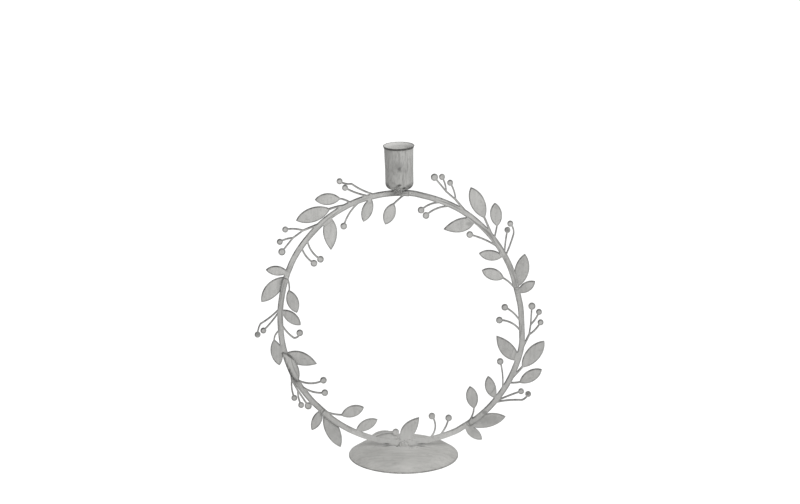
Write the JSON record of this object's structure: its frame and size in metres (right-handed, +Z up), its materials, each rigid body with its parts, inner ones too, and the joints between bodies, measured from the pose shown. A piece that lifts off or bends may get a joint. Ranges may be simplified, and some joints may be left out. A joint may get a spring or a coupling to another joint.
{
  "type": "candle ring",
  "caption": "Upright wreath of sheet metal twigs with leaves and berries on a round pressed foot, with a deep candle cup welded on top.",
  "frame": {"origin": "middle of the foot's flat rim, on the table", "axes": "+Z up, +X to the viewer's right, -Y towards the viewer, the wreath in the XZ plane"},
  "size_m": [0.2421, 0.0922, 0.2697],
  "materials": {
    "foot_paint": "matt grey white wash over dark metal, brushed",
    "cup_paint": "matt grey white wash over dark metal, brushed",
    "twig_paint": "matt grey white wash with dark worn edges",
    "weld_paint": "matt grey white wash"
  },
  "bodies": {
    "root": {"foot": "foot_paint", "candle_cup": "cup_paint", "twig_upper_right": "twig_paint", "twig_lower_right": "twig_paint", "twig_bottom": "twig_paint", "twig_lower_left": "twig_paint", "twig_upper_left": "twig_paint", "cup_weld": "weld_paint", "foot_weld_front": "weld_paint", "foot_weld_back": "weld_paint", "twig_weld_right": "weld_paint", "twig_weld_lower_right": "weld_paint", "twig_weld_lower_left": "weld_paint", "twig_weld_left": "weld_paint", "twig_weld_top": "weld_paint"}
  },
  "joints": []
}
